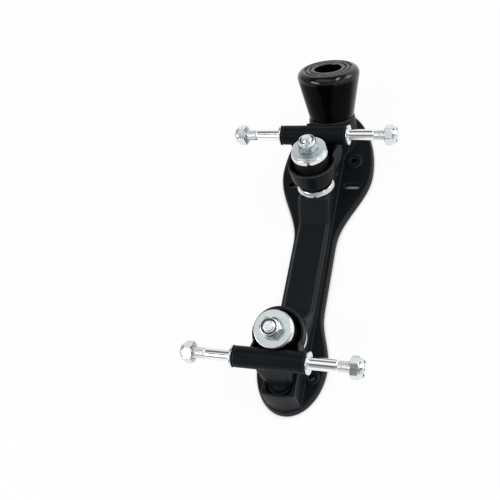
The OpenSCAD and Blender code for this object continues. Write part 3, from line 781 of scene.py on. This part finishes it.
def makeUpperWasher(shape):
    bore, inner, wide, low = shape["bore"], shape["inner"], shape["radius"], shape["low"]
    high, foot, waist = low + shape["sheet"], low - shape["lip"], low - 0.5 * shape["lip"]
    corners = [(bore, low, 0.1), (inner, low, 0.2), (inner, foot, 0.2), (wide, foot, 0.25),
               (wide, waist, 0.6), (shape["top"], high, 0.95), (bore, high, 0.1)]
    return turnedPiece("frontUpperCupWasher", corners, True, shape["steps"])


def makeFlatWasher(shape):
    bore, wide, low = shape["bore"], shape["radius"], shape["low"]
    high = low + shape["sheet"]
    inset, rise = shape["chamfer"]
    corners = [(bore, low, 0.1), (wide - inset, low, 0.1), (wide, low + rise, 0.3),
               (wide, high, 0.4), (bore, high, 0.2)]
    return turnedPiece("frontFlatWasher", corners, True, shape["steps"])


def bothEnds(piece, rearName, node, frontCoats, rearCoats):
    movedTo(piece, kingpinPlace)
    twin = copyOf(piece, rearName, rearTurn)
    coat(piece, *frontCoats)
    coat(twin, *rearCoats)
    settle(piece, "plate", ["front_" + node] if node else [])
    settle(twin, "plate", ["rear_" + node] if node else [])


bothEnds(makeLowerWasher(lowerWasher), "rearLowerCupWasher", "lower_washer",
         [shadedLowerChrome], [shadedLowerChrome])
bothEnds(makeUpperWasher(upperWasher), "rearUpperCupWasher", "upper_washer",
         [upperChrome], [upperChrome])
bothEnds(makeFlatWasher(flatWasher), "rearFlatWasher", "flat_washer",
         [zincAt["frontKingpin"]], [zincAt["rearKingpin"]])
print("kingpin washers made")

# Lock nuts, and a crimped lip as (out from the crimp, down from the top, softening)

lockNut = {
    "flats": 13.0, "hexHeight": 5.44, "height": 8.0, "steps": 72,
    "collar": 6.28, "overlap": 0.9, "clear": 0.45, "dome": 1.7, "crimp": 5.05,
    "lip": [(0.55, 0.12, 0.5), (0.2, 0, 0.15), (0, 0.3, 0.15), (0.1, 1.3, 0.1)], "lipFloor": 1.6,
    "ringTop": 7.1, "ringOverlap": 0.4, "ringTight": 0.05, "ringClear": 0.02, "ringSteps": 64,
}
kingpinNutSeat = {"low": 36.2, "bore": 4.02, "pitch": 1.25}


def makeLockNut(name, shape, bore, pitch):
    body = hexPiece(name + "Hex", shape["flats"], 0, shape["hexHeight"], bore, pitch)
    inner, wide = bore + shape["clear"], shape["collar"]
    low, top = shape["hexHeight"] - shape["overlap"], shape["height"]
    lip = [(shape["crimp"] + out, top - down, soft) for out, down, soft in shape["lip"]]
    corners = [(inner, low, 0), (wide, low, 0), (wide, top - shape["dome"], 1.3), *lip,
               (inner, top - shape["lipFloor"], 0)]
    collar = turnedPiece(name + "Collar", corners, True, shape["steps"])
    coat(body, zincAt["frontHex"])
    coat(collar, zincAt["frontNut"])
    return joinAll(name, [body, collar])


def makeLockRing(name, shape, bore):
    low, high = shape["hexHeight"] - shape["ringOverlap"], shape["ringTop"]
    inner, outer = bore + shape["ringClear"], shape["crimp"] + shape["ringTight"]
    corners = [(inner, low, 0), (outer, low, 0), (outer, high, 0.2), (inner, high, 0.3)]
    return turnedPiece(name, corners, True, shape["ringSteps"])


nutLift = Matrix.Translation((0, 0, kingpinNutSeat["low"] * mm))
kingpinNut = makeLockNut("frontKingpinNut", lockNut, kingpinNutSeat["bore"], kingpinNutSeat["pitch"])
kingpinRing = makeLockRing("frontKingpinNutRing", lockNut, kingpinNutSeat["bore"])
bothEnds(movedTo(kingpinNut, nutLift), "rearKingpinNut", "kingpin_nut",
         [zincAt["frontHex"], zincAt["frontNut"]], [zincAt["rearHex"], zincAt["rearNut"]])
bothEnds(movedTo(kingpinRing, nutLift), "rearKingpinNutRing", "", [lockNylon], [lockNylon])
print("kingpin nuts made")

# Bolts

boltForm = {"radius": 4.0, "flats": 13.0, "pitch": 1.25, "depth": 0.6875, "sink": 0.05, "steps": 64}
kingpinBolt = {**boltForm, "head": (-21.3, -16.0), "tip": 45.8, "thread": (24.6, 45.4)}
stopBolt = {**boltForm, "head": (13.6, 18.9), "tip": -17.0, "thread": (-16.6, 2.0)}
stopNut = {"flats": 13.0, "low": -15.4, "high": -9.0, "bore": 4.02, "pitch": 1.25}
stopWasher = {"radius": 8.5, "low": 12.0, "sheet": 1.6, "bore": 4.15, "rounding": 0.4, "steps": 96}


def makeBolt(name, shape):
    head = hexPiece(name + "Head", shape["flats"], *shape["head"])
    root, full, tip = shape["radius"] - shape["depth"] - shape["sink"], shape["radius"], shape["tip"]
    low, high = shape["thread"]
    under, plainEnd = (shape["head"][1], low) if tip > shape["head"][1] else (shape["head"][0], high)
    corners = [(0, under, 0), (full, under, 0), (full, plainEnd, 0.3),
               (root, plainEnd, 0), (root, tip, 0.5), (0, tip, 0)]
    shank = turnedPiece(name + "Shank", corners, False, shape["steps"])
    thread = threadSkin(name + "Thread", full, shape["depth"], shape["pitch"], low, high)
    return joinAll(name, [head, shank, thread])


# Sharper below and rounder above, as a punched washer is
def plainWasher(name, shape):
    bore, wide, low = shape["bore"], shape["radius"], shape["low"]
    high = low + shape["sheet"]
    corners = [(bore, low, 0.1), (wide, low, 0.3), (wide, high, shape["rounding"]), (bore, high, 0.2)]
    return turnedPiece(name, corners, True, shape["steps"])


bothEnds(makeBolt("frontKingpinBolt", kingpinBolt), "rearKingpinBolt", "kingpin",
         [zincAt["frontNut"]], [zincAt["rearNut"]])
toeBolt = makeBolt("toeStopBolt", stopBolt)
toeNut = hexPiece("toeStopNut", *(stopNut[key] for key in ("flats", "low", "high", "bore", "pitch")))
toeWasher = plainWasher("toeStopWasher", stopWasher)
for piece, node in ((toeBolt, "toe_stop_bolt"), (toeNut, "toe_stop_nut"), (toeWasher, "toe_stop_washer")):
    movedTo(piece, stopPlace)
    coat(piece, zincAt["stop"])
    settle(piece, "plate", [node])
print("bolts made")

# Pivot cups

pivotCup = {"edge": 0.15, "segments": 2, "sharperThan": 40}


def makePivotCup(shape):
    cup = mergedCopy("frontPivotCupMoulding", "front_pivot_cup")
    soft = cup.modifiers.new("mouldRadius", "BEVEL")
    soft.width = shape["edge"] * mm
    soft.segments = shape["segments"]
    soft.limit_method = "ANGLE"
    soft.angle_limit = math.radians(shape["sharperThan"])
    soft.use_clamp_overlap = False
    applyAll(cup)
    coat(cup, bushingRubber)
    shadeByAngle(cup)
    return cup


frontCup = makePivotCup(pivotCup)
rearCup = copyOf(frontCup, "rearPivotCupMoulding", rearTurn)
settle(frontCup, "plate", ["front_pivot_cup"])
settle(rearCup, "plate", ["rear_pivot_cup"])
print("pivot cups made")

# Axles

axleShape = {
    "core": (4.2, 25.74), "plain": (4.0, 43.0), "thread": 3.75, "half": 60.5, "pitch": 1.0, "depth": 0.48,
    "sink": 0.05, "threadFrom": 42.8, "threadTo": 60.15, "steps": 80,
}


def makeAxle(shape):
    coreRadius, coreEnd = shape["core"]
    plainRadius, plainEnd = shape["plain"]
    root = shape["thread"] - shape["depth"] - shape["sink"]
    side = [(coreRadius, coreEnd, 0.15), (plainRadius, coreEnd, 0.1), (plainRadius, plainEnd, 0.6),
            (root, plainEnd, 0), (root, shape["half"], 0.5)]
    mirror = [(r, -z, soft) for r, z, soft in reversed(side)]
    corners = [(0, -shape["half"], 0), *mirror, *side, (0, shape["half"], 0)]
    bar = turnedPiece("frontAxleBar", corners, False, shape["steps"])
    right = threadSkin("frontAxleThread", shape["thread"], shape["depth"], shape["pitch"],
                       shape["threadFrom"], shape["threadTo"])
    left = copyOf(right, "frontAxleThreadLeft", Matrix.Rotation(math.pi, 4, "X"))
    coat(bar, axleChrome)
    for thread in (right, left):
        coat(thread, threadSteel)
    axle = joinAll("frontAxleBar", [bar, right, left])
    return movedTo(axle, axlePlace(1))


frontAxle = makeAxle(axleShape)
rearAxle = copyOf(frontAxle, "rearAxleBar", rearTurn)
settle(frontAxle, "front_truck", ["front_axle"])
settle(rearAxle, "rear_truck", ["rear_axle"])
print("axles made")

# Speed washers and axle nuts

speedWasher = {"radius": 7.3, "bore": 4.3, "low": 24.32, "sheet": 1.4, "rounding": 0.45, "steps": 80}
axleNutSeat = {"low": 51.5, "bore": 3.77, "pitch": 1.0}


def onAllAxleEnds(piece, label, node, body, coats):
    places = {
        ("front", "right"): axlePlace(1), ("front", "left"): axlePlace(-1),
        ("rear", "right"): rearTurn @ axlePlace(-1), ("rear", "left"): rearTurn @ axlePlace(1),
    }
    for (end, side), place in places.items():
        twin = copyOf(piece, end + side.capitalize() + label, place)
        coat(twin, *coats[end])
        settle(twin, end + "_" + side + "_" + body, [end + "_" + side + "_" + node] if node else [])
    bpy.data.objects.remove(piece)


washerCoats = {end: [zincAt[end + "Axle"]] for end in ends}
nutCoats = {end: [zincAt[end + "AxleHex"], zincAt[end + "Axle"]] for end in ends}
ringCoats = {end: [lockNylon] for end in ends}
washer = plainWasher("speedWasher", speedWasher)
onAllAxleEnds(washer, "SpeedWasher", "speed_washer", "washer", washerCoats)
nutPlace = Matrix.Translation((0, 0, axleNutSeat["low"] * mm))
axleNut = movedTo(makeLockNut("axleNut", lockNut, axleNutSeat["bore"], axleNutSeat["pitch"]), nutPlace)
onAllAxleEnds(axleNut, "AxleNut", "axle_nut", "nut", nutCoats)
axleRing = movedTo(makeLockRing("axleNutRing", lockNut, axleNutSeat["bore"]), nutPlace)
onAllAxleEnds(axleRing, "AxleNutRing", "", "nut", ringCoats)
print("axle hardware made")

# Floor, lamps and world

floorLook = {
    "tones": ((0.88, 0.88, 0.88), (0.90, 0.90, 0.90)), "patches": ("mottle", 0.0, 1.0),
    "grains": {"mottle": (6, 3.0, 0.5)}, "constant": {"Roughness": 0.9, "Specular IOR Level": 0.1},
}
studio = {
    "floorSize": 8, "floorDrop": 0.0004, "floorShadow": 0.06,
    "crevice": {"reach": 0.016, "samples": 16, "gain": 1.4, "curve": 2.2},
    "shade": {"place": (-0.0218, 0.0746, 0), "near": 0.0085, "far": 0.0115, "depth": 0.85},
    "horizon": {"dim": 0.44, "bright": 0.98, "toward": (0.8, 0.6, 0), "bend": (0.22, 0.70)},
    "ceiling": 0.14, "bend": (0.48, 0.66), "aim": (0, 0, 0.03),
    "lamps": [
        {"name": "topSoftbox", "place": (-0.04, -0.07, 1.10), "size": (1.20, 0.76), "power": 2.5},
        {"name": "leftSoftbox", "place": (-0.70, -0.50, 0.72), "size": (0.70, 0.30), "power": 5.0},
        {"name": "rightStrip", "place": (0.68, 0.20, 1.06), "size": (0.80, 0.20), "power": 3.8},
        {"name": "rightSoftbox", "place": (0.95, 0.50, 0.42), "size": (0.50, 0.40), "power": 2.4},
    ],
}


# One where the ray comes straight from the camera, then the same with mirror reflections
def seenPlainly(bench):
    path = bench.add("ShaderNodeLightPath")
    straight = path["Is Camera Ray"].most(path["Is Transmission Ray"])
    return straight, straight.most(path["Is Glossy Ray"])


# A white floor with painted shade in the crevices round the part and a painted shadow under its left slot
def makeFloor(setup):
    clearPick()
    bpy.ops.mesh.primitive_plane_add(size=setup["floorSize"], location=(0, 0, -setup["floorDrop"]))
    floor = bpy.context.object
    floor.name = "studioFloor"
    paint = Paint("paleFloor", floorLook)
    paint.feed(paint.shader.inputs["Base Color"], paint.ground())
    crevice, shade = setup["crevice"], setup["shade"]
    openness = paint.add("ShaderNodeAmbientOcclusion", {"samples": crevice["samples"]},
                         {"Distance": crevice["reach"]})["AO"]
    gap = paint.vector("DISTANCE", paint.spot(), shade["place"])
    fade = {"From Min": shade["near"], "From Max": shade["far"], "To Min": 1 - shade["depth"], "To Max": 1.0}
    shaded = paint.add("ShaderNodeMapRange", None, {"Value": gap, **fade})["Result"]
    strength = (openness * crevice["gain"]).least(1.0) ** crevice["curve"] * shaded
    glow = paint.add("ShaderNodeEmission", None, {"Color": (1, 1, 1, 1), "Strength": strength})["Emission"]
    lit = Wire(paint, paint.shader.outputs["BSDF"])
    white = seenPlainly(paint)[1] * (1 - setup["floorShadow"])
    shown = paint.add("ShaderNodeMixShader", None, {0: white, 1: lit, 2: glow})["Shader"]
    paint.feed(paint.tree.nodes["Material Output"].inputs["Surface"], shown)
    coat(floor, paint.material)


# Dim overhead and brighter low on the right, but plain white where the camera looks past the floor
def makeWorld(setup):
    world = bpy.data.worlds.new("studioWorld")
    bpy.context.scene.world = world
    world.use_nodes = True
    bench = NodeBench(world.node_tree)
    back = world.node_tree.nodes["Background"]
    toward = bench.add("ShaderNodeTexCoord")["Generated"]
    height = bench.add("ShaderNodeSeparateXYZ", None, {0: toward})["Z"]
    overhead = bench.between(height, *setup["bend"])
    wall = setup["horizon"]
    along = bench.vector("DOT_PRODUCT", toward, wall["toward"])
    brighter = bench.between(0.5 + 0.5 * along, *wall["bend"])
    horizon = wall["dim"] + (wall["bright"] - wall["dim"]) * brighter
    dome = horizon + (setup["ceiling"] - horizon) * overhead
    plain = seenPlainly(bench)[0]
    back.inputs["Color"].default_value = (1, 1, 1, 1)
    bench.feed(back.inputs["Strength"], dome + plain * (1 - dome))


def makeStudio(setup):
    makeFloor(setup)
    for lamp in setup["lamps"]:
        bpy.ops.object.light_add(type="AREA", location=lamp["place"])
        light = bpy.context.object
        light.name = lamp["name"]
        light.data.shape = "RECTANGLE"
        light.data.size, light.data.size_y = lamp["size"]
        light.data.energy = lamp["power"]
        aim = Vector(setup["aim"]) - Vector(lamp["place"])
        light.rotation_euler = aim.to_track_quat("-Z", "Y").to_euler()
    makeWorld(setup)
    bpy.context.scene.view_settings.view_transform = "Standard"


makeStudio(studio)
print("studio lit")
